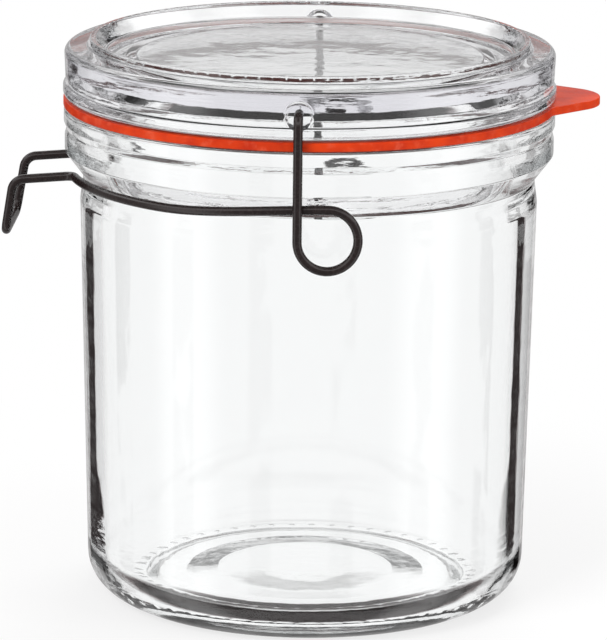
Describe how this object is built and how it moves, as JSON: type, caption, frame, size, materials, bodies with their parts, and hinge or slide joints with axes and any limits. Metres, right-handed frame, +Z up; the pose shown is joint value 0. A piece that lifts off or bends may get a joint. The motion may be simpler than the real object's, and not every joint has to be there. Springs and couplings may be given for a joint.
{
  "type": "canning jar",
  "caption": "Wide-mouth glass canning jar with a thick glass lid, a flat rubber gasket with a pull tab, and a wire bail that snaps under the collar to hold the lid shut.",
  "frame": {"origin": "centre of the jar's base, on the plane that the jar stands on", "axes": "+Z up along the jar's axis, -Y is the front, where one spring loop of the bail faces, -X is the bail's finger handle, +X is the side of the gasket's pull tab"},
  "size_m": [0.1309, 0.1138, 0.1247],
  "materials": {
    "jar_glass": "clear pressed glass",
    "gasket_rubber": "satin orange-red rubber",
    "lid_glass": "clear pressed glass",
    "bail_wire": "dark bronze lacquered spring steel"
  },
  "bodies": {
    "jar": {"jar_body": "jar_glass"},
    "gasket": {"gasket": "gasket_rubber"},
    "lid": {"lid": "lid_glass"},
    "bail": {"wire_bail": "bail_wire"}
  },
  "joints": [
    {"name": "gasket_lift", "type": "slide", "parent": "jar", "child": "gasket", "axis": [0, 0, 1], "range_m": [0, 0.03]},
    {"name": "lid_lift", "type": "slide", "parent": "gasket", "child": "lid", "axis": [0, 0, 1], "range_m": [0, 0.06]},
    {"name": "bail_swing", "type": "hinge", "parent": "lid", "child": "bail", "pos_m": [0, 0, 0.1174], "axis": [0, 1, 0], "range_deg": [0, 200], "deforming": ["wire_bail"]}
  ]
}
